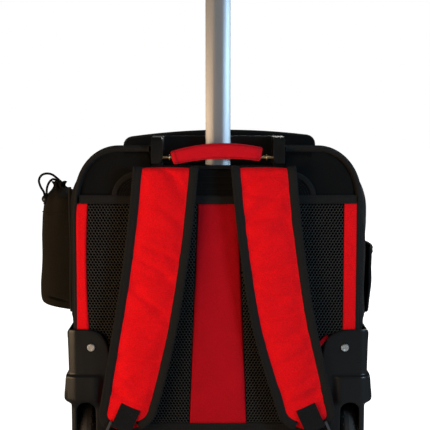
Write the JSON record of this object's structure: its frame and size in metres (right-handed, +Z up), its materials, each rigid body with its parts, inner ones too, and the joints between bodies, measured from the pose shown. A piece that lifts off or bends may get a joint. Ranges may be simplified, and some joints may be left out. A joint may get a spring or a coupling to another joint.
{
  "type": "wheeled bowling ball backpack",
  "caption": "Soft-sided wheeled backpack bag for a single bowling ball, with padded shoulder straps, a telescopic pull pole and a front-opening lid.",
  "frame": {"origin": "on the floor, at the centre of the front stand's rubber pad", "axes": "+Z up along the pull pole; the shoulder straps and back panel face -Y, the front pocket faces +Y; +X is to the right when looking at the strap side"},
  "size_m": [0.416, 0.3221, 0.9255],
  "materials": {
    "fabric_black": "ballistic polyester weave, matt",
    "fabric_red": "padded polyester weave, matt",
    "mesh_black": "open spacer mesh over foam",
    "webbing_black": "woven webbing, slight sheen",
    "binding_black": "folded binding tape",
    "loop_black": "rough loop pile",
    "plastic_black": "satin moulded plastic",
    "plastic_grey": "satin moulded plastic",
    "zip_black": "coil zip, semi-gloss",
    "aluminium": "drawn and anodised, satin",
    "steel": "zinc plated",
    "tyre": "moulded rubber",
    "rubber": "moulded rubber",
    "foam": "closed-cell foam",
    "lining": "thin plain-weave lining"
  },
  "bodies": {
    "bag": {"body_shell": "fabric_black", "back_board": "plastic_black", "mesh_pads": "mesh_black", "back_centre_strip": "fabric_red", "back_side_strips": "fabric_red", "panel_bindings": "binding_black", "upper_yoke": "fabric_black", "loop_patches": "loop_black", "edge_piping": "binding_black", "handle_pins": "steel", "handle_tray": "plastic_black", "pole_outer_tube": "aluminium", "pole_bracket": "plastic_black", "wheel_housing_left": "plastic_black", "wheel_housing_right": "plastic_black", "case_screws": "steel", "axles": "steel", "base_board": "plastic_black", "front_stand": "plastic_black", "stand_pad": "rubber", "lid_hinge": "binding_black", "main_zipper_body": "zip_black", "bottle_pocket": "fabric_black", "drawcord": "webbing_black", "phone_pocket": "fabric_black", "ball_cup": "foam", "shelf": "lining", "back_lining": "lining"},
    "strap_left": {"shoulder_strap_left": "fabric_red", "strap_tab_left": "webbing_black", "ladder_lock_left": "plastic_black", "lower_webbing_left": "webbing_black"},
    "strap_right": {"shoulder_strap_right": "fabric_red", "strap_tab_right": "webbing_black", "ladder_lock_right": "plastic_black", "lower_webbing_right": "webbing_black"},
    "grab": {"grab_handle": "fabric_red"},
    "pole_lower": {"pole_mid_tube": "aluminium", "pole_collar": "plastic_black", "mid_tube_foot": "plastic_grey"},
    "pole_upper": {"pole_inner_tube": "aluminium", "inner_tube_foot": "plastic_grey", "grip": "plastic_black", "pole_springs": "steel"},
    "button": {"grip_button": "plastic_grey", "push_rod": "steel"},
    "pin": {"lock_pin": "steel"},
    "wheel_left": {"tyre_left": "tyre", "wheel_core_left": "plastic_grey", "wheel_bearings_left": "steel"},
    "wheel_right": {"tyre_right": "tyre", "wheel_core_right": "plastic_grey", "wheel_bearings_right": "steel"},
    "lid": {"lid_panel": "fabric_black", "front_pocket": "fabric_black", "main_zipper_lid": "zip_black"},
    "slider_left": {"main_slider_left": "plastic_grey"},
    "slider_right": {"main_slider_right": "plastic_grey"},
    "slider_pocket": {"pocket_slider": "plastic_grey"},
    "stopper": {"cord_stopper": "plastic_black"}
  },
  "joints": [
    {"name": "pole_lower_slide", "type": "slide", "parent": "bag", "child": "pole_lower", "axis": [0, 0, 1], "range_m": [-0.247, 0]},
    {"name": "pole_upper_slide", "type": "slide", "parent": "pole_lower", "child": "pole_upper", "axis": [0, 0, 1], "range_m": [-0.241, 0]},
    {"name": "grip_button_press", "type": "slide", "parent": "pole_upper", "child": "button", "axis": [0, 0, 1], "range_m": [0, 0.005]},
    {"name": "lock_pin_slide", "type": "slide", "parent": "pole_upper", "child": "pin", "axis": [0, -1, 0], "range_m": [0, 0.0024]},
    {"name": "wheel_left_spin", "type": "hinge", "parent": "bag", "child": "wheel_left", "pos_m": [-0.16, -0.163, 0.05], "axis": [1, 0, 0], "continuous": true},
    {"name": "wheel_right_spin", "type": "hinge", "parent": "bag", "child": "wheel_right", "pos_m": [0.16, -0.163, 0.05], "axis": [1, 0, 0], "continuous": true},
    {"name": "lid_hinge_line", "type": "hinge", "parent": "bag", "child": "lid", "pos_m": [0, 0.03, 0.0665], "axis": [-1, 0, 0], "range_deg": [0, 90]},
    {"name": "grab_handle_swing", "type": "hinge", "parent": "bag", "child": "grab", "pos_m": [0, -0.208, 0.4], "axis": [1, 0, 0], "range_deg": [-25, 75]},
    {"name": "strap_left_swing", "type": "hinge", "parent": "bag", "child": "strap_left", "pos_m": [-0.065, -0.214, 0.3815], "axis": [-1, 0, 0], "range_deg": [0, 14]},
    {"name": "strap_right_swing", "type": "hinge", "parent": "bag", "child": "strap_right", "pos_m": [0.057, -0.214, 0.3815], "axis": [-1, 0, 0], "range_deg": [0, 14]},
    {"name": "zip_slider_left", "type": "slide", "parent": "bag", "child": "slider_left", "axis": [-1, 0, 0], "range_m": [-0.016, 0.09]},
    {"name": "zip_slider_right", "type": "slide", "parent": "bag", "child": "slider_right", "axis": [1, 0, 0], "range_m": [-0.016, 0.09]},
    {"name": "pocket_zip_slider", "type": "slide", "parent": "lid", "child": "slider_pocket", "axis": [1, 0, 0], "range_m": [-0.16, 0.045]},
    {"name": "cord_stopper_slide", "type": "slide", "parent": "bag", "child": "stopper", "axis": [0, 0, 1], "range_m": [-0.0005, 0.006]}
  ],
  "couplings": [
    {"joint": "lock_pin_slide", "follows": "grip_button_press", "ratio": 0.48}
  ]
}
